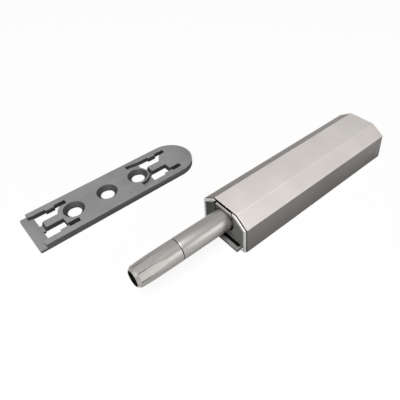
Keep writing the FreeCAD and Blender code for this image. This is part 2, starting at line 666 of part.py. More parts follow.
os.makedirs("parts", exist_ok=True)
for node, make in PIECES.items():
    make().exportStep("parts/%s.step" % node)
for number, (x, y) in enumerate(screw_places(), start=1):
    chassis_screw(x, y).exportStep("parts/chassis_screw_%d.step" % number)
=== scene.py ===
"""Dressed model of a push to open catch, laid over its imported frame.

Metres. The housing lies along Y with its plunger pointing to -Y, and Z is up.
"""
import logging
import math
from dataclasses import dataclass
from enum import Enum
from functools import cache
from typing import Callable

import bmesh
import bpy
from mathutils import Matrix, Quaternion, Vector


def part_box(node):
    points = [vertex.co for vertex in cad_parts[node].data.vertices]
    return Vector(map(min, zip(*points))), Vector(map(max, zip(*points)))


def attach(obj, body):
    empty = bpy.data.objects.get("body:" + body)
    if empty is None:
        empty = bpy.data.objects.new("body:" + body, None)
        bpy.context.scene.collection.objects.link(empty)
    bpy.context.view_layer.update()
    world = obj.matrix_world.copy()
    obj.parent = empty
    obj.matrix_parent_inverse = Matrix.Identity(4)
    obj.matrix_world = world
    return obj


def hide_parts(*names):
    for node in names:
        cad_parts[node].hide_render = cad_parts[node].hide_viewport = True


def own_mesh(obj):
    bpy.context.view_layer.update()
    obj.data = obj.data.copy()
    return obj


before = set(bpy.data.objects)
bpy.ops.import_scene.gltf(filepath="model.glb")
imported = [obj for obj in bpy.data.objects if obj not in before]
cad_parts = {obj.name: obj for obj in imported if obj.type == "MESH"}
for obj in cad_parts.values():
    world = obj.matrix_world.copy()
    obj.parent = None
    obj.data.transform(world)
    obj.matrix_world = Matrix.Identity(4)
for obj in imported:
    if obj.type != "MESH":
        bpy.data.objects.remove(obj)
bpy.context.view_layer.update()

LOG = logging.getLogger("catch")
MM = 0.001

Pair = tuple[float, float]
Triple = tuple[float, float, float]
Plane = tuple[Triple, Triple]
FaceTest = Callable[[Vector, Vector], bool]
Tree = bpy.types.NodeTree
Socket = bpy.types.NodeSocket
Ends = tuple[Socket | float, Socket | float]

WELD = 0.002 * MM  # points closer than this are one point
FLAT_TURN = 0.4  # degrees: faces that turn by less are one face
ROUNDED_TURN = 32.0  # degrees: edges that turn by more are rounded over
ROUNDING_STEPS = 2
TURNED_SHARP = 30.0  # degrees from which an edge stays sharp on a turned form
TIP_SHARP = 28.0  # the same on the plunger's tip
NODE_SHARP = 40.0  # the same on what geometry nodes make
FACING = 0.9  # part of a normal along an axis from which its face looks that way
ALONG_Y = (0.0, 1.0, 0.0)
ALONG_Z = (0.0, 0.0, 1.0)
CLOSED_TURNS = 1.5  # turns that lie close together at each end of a spring
COIL_PITCH = 2.05  # distance between closed turns, in radii of the wire
THREAD_SIDES = 4
NO_TURN = (0.0, 0.0, 0.0)
LAID_DOWN = (math.pi / 2, 0.0, 0.0)  # turns a form that rises along Z to run along -Y
WHITE = (1.0, 1.0, 1.0, 1.0)


# Shader and geometry nodes

def feed(tree: Tree, value: object, target: Socket) -> None:
    """Link a socket to an input, or set the input to a plain value.

    Args:
        tree: the tree that the input is in.
        value: the socket or the value.
        target: the input.
    """
    if isinstance(value, bpy.types.NodeSocket):
        tree.links.new(value, target)
    else:
        target.default_value = value


def maths(tree: Tree, operation: str, first: Socket | float,
          second: Socket | float = 0.0) -> Socket:
    """Join two values by one operation.

    Args:
        tree: the tree that the node goes into.
        operation: name of the operation.
        first: its first value.
        second: its second value.

    Returns:
        The result.
    """
    node = tree.nodes.new("ShaderNodeMath")
    node.operation = operation
    feed(tree, first, node.inputs[0])
    feed(tree, second, node.inputs[1])
    return node.outputs[0]


def mapped(tree: Tree, value: Socket, source: Ends, result: Ends) -> Socket:
    """Stretch a value from one range to another and stop it at both ends.

    Args:
        tree: the tree that the node goes into.
        value: the value.
        source: both ends of the range that it comes from.
        result: both ends of the range that it goes to.

    Returns:
        The stretched value.
    """
    node = tree.nodes.new("ShaderNodeMapRange")
    feed(tree, value, node.inputs["Value"])
    for label, end in zip(("From Min", "From Max", "To Min", "To Max"), source + result):
        feed(tree, end, node.inputs[label])
    return node.outputs["Result"]


def openness(tree: Tree, reach: float, samples: int) -> Socket:
    """Measure how open the space over a surface is.

    Args:
        tree: the material's tree.
        reach: how far away something still closes it.
        samples: rays for each point.

    Returns:
        1 on open ground, down to 0 in a closed gap.
    """
    node = tree.nodes.new("ShaderNodeAmbientOcclusion")
    node.samples = samples
    node.inputs["Distance"].default_value = reach
    return node.outputs["AO"]


def mixed(tree: Tree, share: Socket, first: Socket, second: Socket, output: str) -> None:
    """Mix two shaders and send the result to the tree's output.

    Args:
        tree: the tree of a material or the world.
        share: how much of the second shader there is.
        first: the first shader.
        second: the second shader.
        output: name of the output node.
    """
    node = tree.nodes.new("ShaderNodeMixShader")
    for source, target in zip((share, first, second), node.inputs):
        tree.links.new(source, target)
    tree.links.new(node.outputs[0], tree.nodes[output].inputs["Surface"])


# Finishes

class Grain(Enum):
    """How far a finish's marks are drawn out along X, Y and Z."""

    EVEN = (1.0, 1.0, 1.0)
    ALONG = (1.0, 0.03, 1.0)
    AROUND = (0.05, 1.0, 0.05)


@dataclass(frozen=True)
class Finish:
    """A procedural surface: colour that drifts, fine marks and uneven gloss, with a painted
    highlight along edges and painted shade in gaps where these are set.
    """

    name: str
    colour: Triple
    roughness: float
    metallic: float = 0.0
    specular: float = 0.5
    grain: Grain = Grain.EVEN
    grain_size: float = 0.25 * MM
    grain_depth: float = 0.004 * MM
    grain_layers: float = 3.0
    speckle: float = 0.04
    drift: float = 0.05
    drift_size: float = 14 * MM
    drift_layers: float = 2.0
    gloss_drift: float = 0.05
    layer_share: float = 0.55
    noise_range: Pair = (0.3, 0.7)
    # Painted highlight along edges: its strength, width, range and samples.
    painted_edge_highlight: float = 0.0
    edge_highlight_width: float = 0.25 * MM
    edge_highlight_range: Pair = (0.95, 0.998)
    edge_highlight_samples: int = 4
    # Painted shade in gaps and corners: its strength, reach, range and samples.
    painted_crevice_shade: float = 0.0
    crevice_shade_reach: float = 1.0 * MM
    crevice_shade_range: Pair = (0.3, 0.75)
    crevice_shade_samples: int = 8

    @cache
    def material(self) -> bpy.types.Material:
        """Build the node material of this finish, once.

        Returns:
            The material, ready to go into a slot.
        """
        material = bpy.data.materials.new(self.name)
        material.use_nodes = True
        tree = material.node_tree
        shader = tree.nodes["Principled BSDF"]
        shader.inputs["Metallic"].default_value = self.metallic
        shader.inputs["Specular IOR Level"].default_value = self.specular
        place = tree.nodes.new("ShaderNodeTexCoord")
        fine = self._noise(tree, place, self.grain_size, self.grain_layers)
        broad = self._noise(tree, place, self.drift_size, self.drift_layers)
        tone = maths(tree, "MULTIPLY", self._around(tree, broad, 1.0, self.drift),
                     self._around(tree, fine, 1.0, self.speckle))
        # Painted highlight along edges.
        if self.painted_edge_highlight > 0.0:
            tone = maths(tree, "MULTIPLY", tone, self._edge_highlight_factor(tree))
        # Painted shade in gaps and corners.
        if self.painted_crevice_shade > 0.0:
            tone = maths(tree, "MULTIPLY", tone, self._crevice_shade_factor(tree))
        tint = tree.nodes.new("ShaderNodeVectorMath")
        tint.operation = "SCALE"
        tint.inputs[0].default_value = self.colour
        tree.links.new(tone, tint.inputs["Scale"])
        tree.links.new(tint.outputs[0], shader.inputs["Base Color"])
        gloss = self._around(tree, broad, self.roughness, self.gloss_drift)
        tree.links.new(gloss, shader.inputs["Roughness"])
        bump = tree.nodes.new("ShaderNodeBump")
        bump.inputs["Distance"].default_value = self.grain_depth
        tree.links.new(fine, bump.inputs["Height"])
        tree.links.new(bump.outputs["Normal"], shader.inputs["Normal"])
        return material

    def _noise(self, tree: Tree, place: bpy.types.Node, size: float, layers: float) -> Socket:
        """Add a noise whose marks have a given size and follow the grain.

        Args:
            tree: the material's tree.
            place: the texture coordinate node.
            size: width of a mark.
            layers: how many finer layers it has.

        Returns:
            The noise's value.
        """
        mapping = tree.nodes.new("ShaderNodeMapping")
        mapping.inputs["Scale"].default_value = [part / size for part in self.grain.value]
        tree.links.new(place.outputs["Object"], mapping.inputs["Vector"])
        noise = tree.nodes.new("ShaderNodeTexNoise")
        noise.inputs["Scale"].default_value = 1.0
        noise.inputs["Detail"].default_value = layers
        noise.inputs["Roughness"].default_value = self.layer_share
        tree.links.new(mapping.outputs[0], noise.inputs["Vector"])
        return noise.outputs["Fac"]

    def _around(self, tree: Tree, noise: Socket, middle: float, spread: float) -> Socket:
        """Spread a noise's middle range to both sides of a number.

        Args:
            tree: the material's tree.
            noise: the noise.
            middle: the number.
            spread: how far the result goes to each side.

        Returns:
            The spread value.
        """
        return mapped(tree, noise, self.noise_range, (middle - spread, middle + spread))

    def _edge_highlight_factor(self, tree: Tree) -> Socket:
        """Paint a highlight into the surface along its edges.

        Args:
            tree: the material's tree.

        Returns:
            1 on flat ground, more by an edge.
        """
        rounded = tree.nodes.new("ShaderNodeBevel")
        rounded.samples = self.edge_highlight_samples
        rounded.inputs["Radius"].default_value = self.edge_highlight_width
        solid = tree.nodes.new("ShaderNodeNewGeometry")
        agree = tree.nodes.new("ShaderNodeVectorMath")
        agree.operation = "DOT_PRODUCT"
        tree.links.new(rounded.outputs[0], agree.inputs[0])
        tree.links.new(solid.outputs["Normal"], agree.inputs[1])
        return mapped(tree, agree.outputs["Value"], self.edge_highlight_range, (1.0 + self.painted_edge_highlight, 1.0))

    def _crevice_shade_factor(self, tree: Tree) -> Socket:
        """Paint shade into the surface in gaps and corners.

        Args:
            tree: the material's tree.

        Returns:
            1 on open ground, less in a gap.
        """
        clear = openness(tree, self.crevice_shade_reach, self.crevice_shade_samples)
        return mapped(tree, clear, self.crevice_shade_range, (1.0 - self.painted_crevice_shade, 1.0))


COVER_NICKEL = Finish(
    "cover_nickel", (0.635, 0.60, 0.575), 0.42, metallic=0.15, specular=0.3, grain_size=0.3 * MM,
    painted_edge_highlight=0.3, edge_highlight_width=0.6 * MM, painted_crevice_shade=0.5, crevice_shade_reach=0.5 * MM)
# A darker copy of the cover's nickel for its walls, left chamfer and back: painted shade.
COVER_PAINTED_SHADE = Finish(
    "cover_painted_shade", (0.292, 0.272, 0.258), 0.4, metallic=0.15, specular=0.25, grain_size=0.3 * MM,
    drift=0.12, drift_size=22 * MM, painted_edge_highlight=0.3, painted_crevice_shade=0.5, crevice_shade_reach=0.5 * MM)
# The cap's nickel kept dark on its front panels: painted shade.
CAP_NICKEL_PAINTED_SHADE = Finish(
    "cap_nickel_painted_shade", (0.22, 0.22, 0.21), 0.45, metallic=0.12, specular=0.25, drift=0.12,
    drift_size=5 * MM, painted_crevice_shade=0.75)
# The cap's left panel darker still: painted shade.
CAP_DEEP_PAINTED_SHADE = Finish(
    "cap_deep_painted_shade", (0.05, 0.05, 0.046), 0.45, metallic=0.12, specular=0.25, drift=0.12,
    drift_size=5 * MM, painted_crevice_shade=0.6)
# A lighter copy of the cap's nickel for its rim: painted highlight.
RIM_PAINTED_HIGHLIGHT = Finish(
    "rim_painted_highlight", (0.74, 0.73, 0.71), 0.38, metallic=0.5, specular=0.3, painted_crevice_shade=0.7,
    crevice_shade_reach=0.4 * MM)
PLUNGER_NICKEL = Finish(
    "plunger_nickel", (0.53, 0.505, 0.483), 0.33, metallic=0.75, specular=0.25,
    grain=Grain.ALONG, grain_size=0.3 * MM, grain_depth=0.0012 * MM, drift=0.07,
    drift_size=1.6 * MM, gloss_drift=0.03, painted_crevice_shade=0.6, crevice_shade_reach=0.45 * MM)
# Dark lines along the tip's creases: painted shade.
CREASE_PAINTED_SHADE = Finish("crease_painted_shade", (0.16, 0.155, 0.15), 0.4, metallic=0.5, specular=0.2)
LIP_NICKEL = Finish(
    "lip_nickel", (0.24, 0.235, 0.225), 0.42, metallic=0.15, specular=0.3, painted_edge_highlight=0.5, painted_crevice_shade=0.7)
# The nose's upward bevel lighter: painted highlight.
NOSE_PAINTED_HIGHLIGHT = Finish(
    "nose_painted_highlight", (0.38, 0.37, 0.355), 0.45, metallic=0.15, specular=0.3, painted_edge_highlight=0.5, painted_crevice_shade=0.5)
# The nose's front darker: painted shade.
NOSE_PAINTED_SHADE = Finish("nose_painted_shade", (0.07, 0.07, 0.065), 0.5, specular=0.2, painted_crevice_shade=0.6)
# Black for the magnet, and black laid as painted shadow in gaps, grooves, the tray, the nose and
# the tip's hole.
BLACK_AND_PAINTED_SHADOW = Finish("black_and_painted_shadow", (0.004, 0.004, 0.004), 0.9, specular=0.02, speckle=0.2)
MOULDED_GREY = Finish("moulded_grey", (0.13, 0.13, 0.135), 0.55, grain_size=0.2 * MM)
ACETAL = Finish("natural_acetal", (0.68, 0.67, 0.62), 0.42, grain_size=0.5 * MM, speckle=0.02)
ZINC_STEEL = Finish("zinc_steel", (0.55, 0.55, 0.56), 0.32, metallic=1.0, grain=Grain.AROUND)
DRAWN_WIRE = Finish("drawn_wire", (0.42, 0.42, 0.43), 0.28, metallic=1.0, grain_size=0.08 * MM)
TURNED_BRASS = Finish("turned_brass", (0.66, 0.47, 0.2), 0.3, metallic=1.0, grain=Grain.AROUND)
BLACK_RUBBER = Finish(
    "black_rubber", (0.018, 0.018, 0.018), 0.75, grain_size=0.15 * MM, speckle=0.2)
PLATE_GREY = Finish(
    "plate_grey", (0.275, 0.275, 0.275), 0.5, metallic=0.1, specular=0.3, grain_depth=0.006 * MM,
    speckle=0.06, drift=0.08, drift_size=9 * MM, painted_edge_highlight=0.25, painted_crevice_shade=0.6, crevice_shade_reach=0.8 * MM)
# The plate's sides darker: painted shade.
PLATE_SIDE_PAINTED_SHADE = Finish(
    "plate_side_painted_shade", (0.14, 0.14, 0.14), 0.5, specular=0.2, grain_depth=0.006 * MM, speckle=0.06,
    painted_edge_highlight=0.4)
# Walls inside the plate's outline darker: painted shade.
PLATE_RECESS_PAINTED_SHADE = Finish(
    "plate_recess_painted_shade", (0.06, 0.06, 0.06), 0.55, specular=0.2, grain_depth=0.006 * MM, speckle=0.08,
    painted_crevice_shade=0.6, crevice_shade_reach=1.5 * MM)

Dressing = tuple[Finish, FaceTest]


# Objects and meshes

def in_scene(name: str, data: bpy.types.ID) -> bpy.types.Object:
    """Make an object and put it into the scene.

    Args:
        name: the object's name.
        data: its mesh, lamp or camera.

    Returns:
        The object.
    """
    made = bpy.data.objects.new(name, data)
    bpy.context.scene.collection.objects.link(made)
    return made


def smooth_mesh(form: bmesh.types.BMesh, name: str, sharp: float | None = None) -> bpy.types.Mesh:
    """Turn an edited form into a smoothly shaded mesh and free the form.

    Args:
        form: the edited form.
        name: name of the mesh.
        sharp: degrees from which an edge stays sharp, or None for no sharp edges.

    Returns:
        The mesh.
    """
    mesh = bpy.data.meshes.new(name)
    form.to_mesh(mesh)
    form.free()
    mesh.shade_smooth()
    if sharp is not None:
        mesh.set_sharp_from_angle(angle=math.radians(sharp))
    return mesh


def solid_mesh(holder: bpy.types.Object, name: str) -> bpy.types.Mesh:
    """Turn an object with its modifiers into a plain mesh and remove the object.

    Args:
        holder: the object with modifiers.
        name: name of the new mesh.

    Returns:
        The plain mesh.
    """
    graph = bpy.context.evaluated_depsgraph_get()
    mesh = bpy.data.meshes.new_from_object(
        holder.evaluated_get(graph), preserve_all_data_layers=True, depsgraph=graph)
    mesh.name = name
    bpy.data.objects.remove(holder)
    return mesh


def turned_mesh(name: str, outline: list[Pair], sides: int, axis: Triple,
                start: Triple = (0.0, 0.0, 0.0)) -> bpy.types.Mesh:
    """Turn an outline of (radius, place along the axis) into a closed mesh.

    Args:
        name: the mesh's name.
        outline: the points in order, each end on the axis.
        sides: how many sides the turned form has.
        axis: the axis's direction, across X.
        start: where the axis starts.

    Returns:
        The mesh.
    """
    form = bmesh.new()
    points = [form.verts.new(Vector(start) + Vector((radius, 0.0, 0.0)) + Vector(axis) * along)
              for radius, along in outline]
    edges = [form.edges.new(pair) for pair in zip(points, points[1:])]
    bmesh.ops.spin(form, geom=points + edges, cent=start, axis=axis, angle=math.tau,
                   steps=sides, use_merge=True)
    bmesh.ops.remove_doubles(form, verts=form.verts, dist=WELD)
    bmesh.ops.recalc_face_normals(form, faces=form.faces)
    return smooth_mesh(form, name, TURNED_SHARP)


@dataclass
class NodeForm:
    """A geometry node tree that is built here and used once through a modifier."""

    name: str
    sizes: dict[str, float]

    def __post_init__(self) -> None:
        """Start the tree with its named inputs."""
        self.tree = bpy.data.node_groups.new(self.name, "GeometryNodeTree")
        for side in ("INPUT", "OUTPUT"):
            self.tree.interface.new_socket(
                "Geometry", in_out=side, socket_type="NodeSocketGeometry")
        for label, value in self.sizes.items():
            socket = self.tree.interface.new_socket(
                label, in_out="INPUT", socket_type="NodeSocketFloat")
            socket.default_value = value
        self.start = self.tree.nodes.new("NodeGroupInput")
        self.end = self.tree.nodes.new("NodeGroupOutput")

    def size(self, label: str) -> Socket:
        """Give the socket of a named input.

        Args:
            label: the input's name.

        Returns:
            Its socket.
        """
        return self.start.outputs[label]

    def add(self, kind: str, **inputs: object) -> bpy.types.Node:
        """Add a node and set or link its inputs.

        Args:
            kind: the node's type.
            inputs: a socket or a value for each input, named with _ in place of a space.

        Returns:
            The node.
        """
        node = self.tree.nodes.new(kind)
        for label, value in inputs.items():
            feed(self.tree, value, node.inputs[label.replace("_", " ")])
        return node

    def helix(self, points: int, sides: int) -> Socket:
        """Wind a wire round Z from z 0, with closed turns at both ends.

        The inputs give the sizes: Wire and Mean radius, Turns in all, Closed turns at each end,
        and Length from the first turn's middle to the last one's.

        Args:
            points: points in all.
            sides: sides of the wire.

        Returns:
            The winding as a mesh.
        """
        tree = self.tree
        wire, turns, closed = (self.size(label) for label in ("Wire", "Turns", "Closed"))
        line = self.add("GeometryNodeCurvePrimitiveLine")
        many = self.add("GeometryNodeResampleCurve", Curve=line.outputs["Curve"], Count=points)
        along = self.add("GeometryNodeSplineParameter")
        turn = maths(tree, "MULTIPLY", along.outputs["Factor"], turns)
        angle = maths(tree, "MULTIPLY", turn, math.tau)
        ends = maths(tree, "MULTIPLY", maths(tree, "MULTIPLY", wire, COIL_PITCH), closed)
        middle = maths(tree, "SUBTRACT", self.size("Length"), maths(tree, "MULTIPLY", ends, 2.0))
        last = maths(tree, "SUBTRACT", turns, closed)
        height = mapped(tree, turn, (0.0, closed), (0.0, ends))
        for low, high, rise in ((closed, last, middle), (last, turns, ends)):
            height = maths(tree, "ADD", height, mapped(tree, turn, (low, high), (0.0, rise)))
        across, deep = (maths(tree, "MULTIPLY", maths(tree, wave, angle), self.size("Mean radius"))
                        for wave in ("COSINE", "SINE"))
        spot = self.add("ShaderNodeCombineXYZ", X=across, Y=deep, Z=height)
        moved = self.add("GeometryNodeSetPosition", Geometry=many.outputs["Curve"],
                         Position=spot.outputs[0])
        ring = self.add("GeometryNodeCurvePrimitiveCircle", Resolution=sides, Radius=wire)
        swept = self.add("GeometryNodeCurveToMesh", Curve=moved.outputs["Geometry"],
                         Profile_Curve=ring.outputs["Curve"], Fill_Caps=True)
        return swept.outputs["Mesh"]

    def moved(self, shape: Socket, offset: Triple, turn: Triple = NO_TURN) -> Socket:
        """Turn and then shift a shape.

        Args:
            shape: the geometry.
            offset: the shift.
            turn: the turn about X, Y and Z in radians.

        Returns:
            The moved geometry.
        """
        node = self.add("GeometryNodeTransform", Geometry=shape, Translation=offset, Rotation=turn)
        return node.outputs["Geometry"]

    def threaded(self, points: int, offset: Triple, turn: Triple = NO_TURN) -> Socket:
        """Wind a thread and join it to the geometry that goes into the tree.

        Args:
            points: the thread's points in all.
            offset: where the thread starts.
            turn: the thread's turn about X, Y and Z in radians.

        Returns:
            Both together.
        """
        both = self.add("GeometryNodeJoinGeometry")
        thread = self.moved(self.helix(points, THREAD_SIDES), offset, turn)
        for part in (self.start.outputs["Geometry"], thread):
            self.tree.links.new(part, both.inputs[0])
        return both.outputs[0]

    def mesh(self, shape: Socket, material: bpy.types.Material,
             base: bpy.types.Mesh | None = None) -> bpy.types.Mesh:
        """End the tree with a shape in its material, run it and keep the result.

        Args:
            shape: the geometry that the tree gives.
            material: the material that it takes.
            base: geometry that goes into the tree, or none.

        Returns:
            The tree's result as a plain mesh.
        """
        real = self.add("GeometryNodeRealizeInstances", Geometry=shape)
        dressed = self.add("GeometryNodeSetMaterial", Geometry=real.outputs["Geometry"],
                           Material=material)
        self.tree.links.new(dressed.outputs["Geometry"], self.end.inputs["Geometry"])
        holder = in_scene(self.name + "_holder", base or bpy.data.meshes.new(self.name + "_base"))
        holder.modifiers.new(self.name, "NODES").node_group = self.tree
        mesh = solid_mesh(holder, self.name)
        mesh.shade_smooth()
        mesh.set_sharp_from_angle(angle=math.radians(NODE_SHARP))
        return mesh


# Dressing and placing pieces

@dataclass(frozen=True)
class Spring:
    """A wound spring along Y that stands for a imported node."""

    name: str
    node: str
    wire: float
    turns: float
    points: int
    sides: int
    slack: float
    joint: str
    travel: float


class Assembly:
    """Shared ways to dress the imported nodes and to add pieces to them."""

    def finish_nodes(self, dressed: dict[str, Finish]) -> None:
        """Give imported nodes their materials.

        Args:
            dressed: the finish of each node.
        """
        for node, finish in dressed.items():
            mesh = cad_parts[node].data
            mesh.materials.clear()
            mesh.materials.append(finish.material())
            LOG.info("%s: finished as %s", node, finish.name)

    def place(self, name: str, mesh: bpy.types.Mesh, body: str, slot: str,
              nodes: tuple[str, ...]) -> bpy.types.Object:
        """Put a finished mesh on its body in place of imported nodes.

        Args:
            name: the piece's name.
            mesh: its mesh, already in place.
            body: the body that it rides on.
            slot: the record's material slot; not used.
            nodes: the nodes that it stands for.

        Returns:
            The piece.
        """
        piece = in_scene(name, mesh)
        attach(piece, body)
        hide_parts(*nodes)
        LOG.info("%s: %d faces on %s", name, len(mesh.polygons), body)
        return piece

    def softened(self, node: str, body: str, slot: str, finish: Finish, width: float,
                 others: tuple[Dressing, ...] = (), splits: tuple[Plane, ...] = ()) -> None:
        """Replace a node by a copy whose sharp edges are rounded over.

        Args:
            node: the node to copy.
            body: the body that it rides on.
            slot: the record's material slot.
            finish: the copy's finish.
            width: how far each edge is cut back.
            others: further finishes, each with a test of a face's middle and normal. The first
                that fits is taken.
            splits: planes, each a point and a normal, that divide faces so that both sides can
                take their own finish.
        """
        form = bmesh.new()
        form.from_mesh(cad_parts[node].data)
        bmesh.ops.remove_doubles(form, verts=form.verts, dist=WELD)
        bmesh.ops.dissolve_degenerate(form, edges=form.edges, dist=WELD)
        bmesh.ops.dissolve_limit(form, angle_limit=math.radians(FLAT_TURN), verts=form.verts,
                                 edges=form.edges, use_dissolve_boundaries=False)
        for point, normal in splits:
            bmesh.ops.bisect_plane(form, geom=form.verts[:] + form.edges[:] + form.faces[:],
                                   dist=WELD, plane_co=point, plane_no=normal)
        holder = in_scene(node + "_holder", smooth_mesh(form, node + "_source"))
        bevel = holder.modifiers.new("round", "BEVEL")
        bevel.width = width
        bevel.segments = ROUNDING_STEPS
        bevel.limit_method = "ANGLE"
        bevel.angle_limit = math.radians(ROUNDED_TURN)
        bevel.use_clamp_overlap = True
        bevel.harden_normals = True
        mesh = solid_mesh(holder, "dressed_" + node)
        mesh.materials.clear()
        for taken in (finish, *(other for other, _ in others)):
            mesh.materials.append(taken.material())
        for face in mesh.polygons:
            fitting = (number for number, (_, fits) in enumerate(others, 1)
                       if fits(face.center, face.normal))
            face.material_index = next(fitting, 0)
        self.place("dressed_" + node, mesh, body, slot, (node,))

    def spring(self, plan: Spring) -> None:
        """Wind a spring that starts at its node's rear end.

        Args:
            plan: the spring's sizes, with its node and its joint.
        """
        low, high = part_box(plan.node)
        form = NodeForm(plan.name, {
            "Wire": plan.wire, "Mean radius": (high[0] - low[0]) / 2 - plan.wire,
            "Turns": plan.turns, "Closed": CLOSED_TURNS,
            "Length": high[1] - low[1] - 2 * plan.wire - plan.slack})
        rear = ((low[0] + high[0]) / 2, high[1] - plan.wire, (low[2] + high[2]) / 2)
        coil = form.moved(form.helix(plan.points, plan.sides), rear, LAID_DOWN)
        mesh = form.mesh(coil, DRAWN_WIRE.material())
        piece = self.place(plan.name, mesh, "housing", "spring_steel", (plan.node,))
        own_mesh(piece)


# The housing and what is fixed in it

@dataclass(frozen=True)
class Screw:
    """A small countersunk screw, with the top of its head at 0 and its point at its length."""

    head: float = 1.5 * MM
    head_rim: float = 0.1 * MM
    head_depth: float = 0.85 * MM
    recess_depth: float = 0.35 * MM
    recess_floor: float = 0.42 * MM
    recess_mouth: float = 0.75 * MM
    core: float = 0.62 * MM
    neck: float = 0.74 * MM
    point_length: float = 0.8 * MM
    point_radius: float = 0.12 * MM
    point_round: float = 0.02 * MM
    sides: int = 24
    thread_depth: float = 0.14 * MM
    thread_turns: float = 6.0
    thread_fade: float = 0.2
    thread_start: float = 1.05 * MM
    thread_end: float = 0.85 * MM
    thread_points: int = 97

    def outline(self, length: float) -> list[Pair]:
        """Give the outline that is turned.

        Args:
            length: the screw's length.

        Returns:
            The radius and the place along the axis of each point.
        """
        return [(0.0, self.recess_depth), (self.recess_floor, self.recess_depth),
                (self.recess_mouth, 0.0), (self.head, 0.0), (self.head, self.head_rim),
                (self.neck, self.head_depth), (self.core, length - self.point_length),
                (self.point_radius, length - self.point_round), (0.0, length)]


